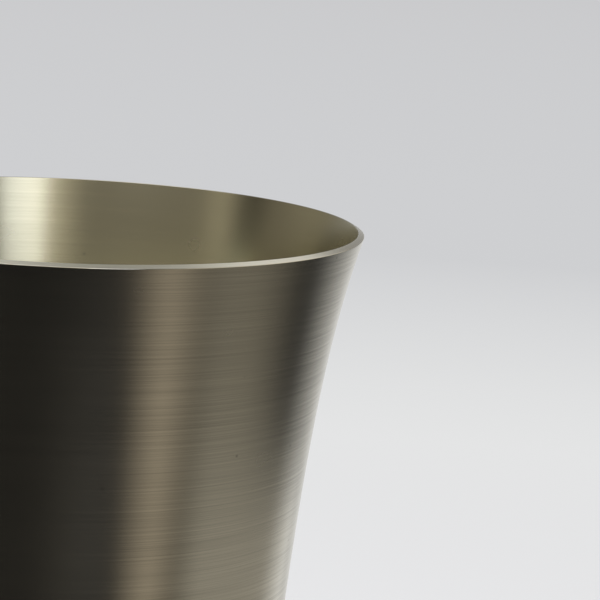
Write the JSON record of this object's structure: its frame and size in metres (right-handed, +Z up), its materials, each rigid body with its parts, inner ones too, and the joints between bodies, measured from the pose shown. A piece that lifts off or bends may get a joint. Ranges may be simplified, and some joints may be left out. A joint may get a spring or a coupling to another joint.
{
  "type": "communion chalice",
  "caption": "Tall footed cup with a flared rim, a waisted stem with a banded hollow knop, and a wide trumpet foot with a small cross.",
  "frame": {"origin": "centre of the foot's circle, on the surface that the chalice stands on", "axes": "+Z up along the axis of the cup and stem, -Y towards the cross on the foot, +X to the right of it"},
  "size_m": [0.104, 0.104, 0.1999],
  "materials": {
    "satin_metal": "warm grey silver-like metal, satin, with fine lines brushed round the axis",
    "polished_metal": "the same metal, polished on rings, band and edges",
    "hardware": "plain turned steel"
  },
  "bodies": {
    "root": {"cup": "satin_metal", "cup_boss": "polished_metal", "cup_seat": "satin_metal", "upper_stem": "satin_metal", "upper_knop_ring": "polished_metal", "knop_upper_shell": "satin_metal", "knop_band": "polished_metal", "knop_lower_shell": "satin_metal", "knop_sleeve": "hardware", "lower_knop_ring": "polished_metal", "lower_stem": "satin_metal", "foot_collar": "polished_metal", "foot_shell": "satin_metal", "foot_edge_ring": "polished_metal", "foot_cross": "polished_metal", "clamp_plate": "hardware", "lock_washer": "hardware", "clamp_nut": "hardware", "tie_rod": "hardware"}
  },
  "joints": []
}
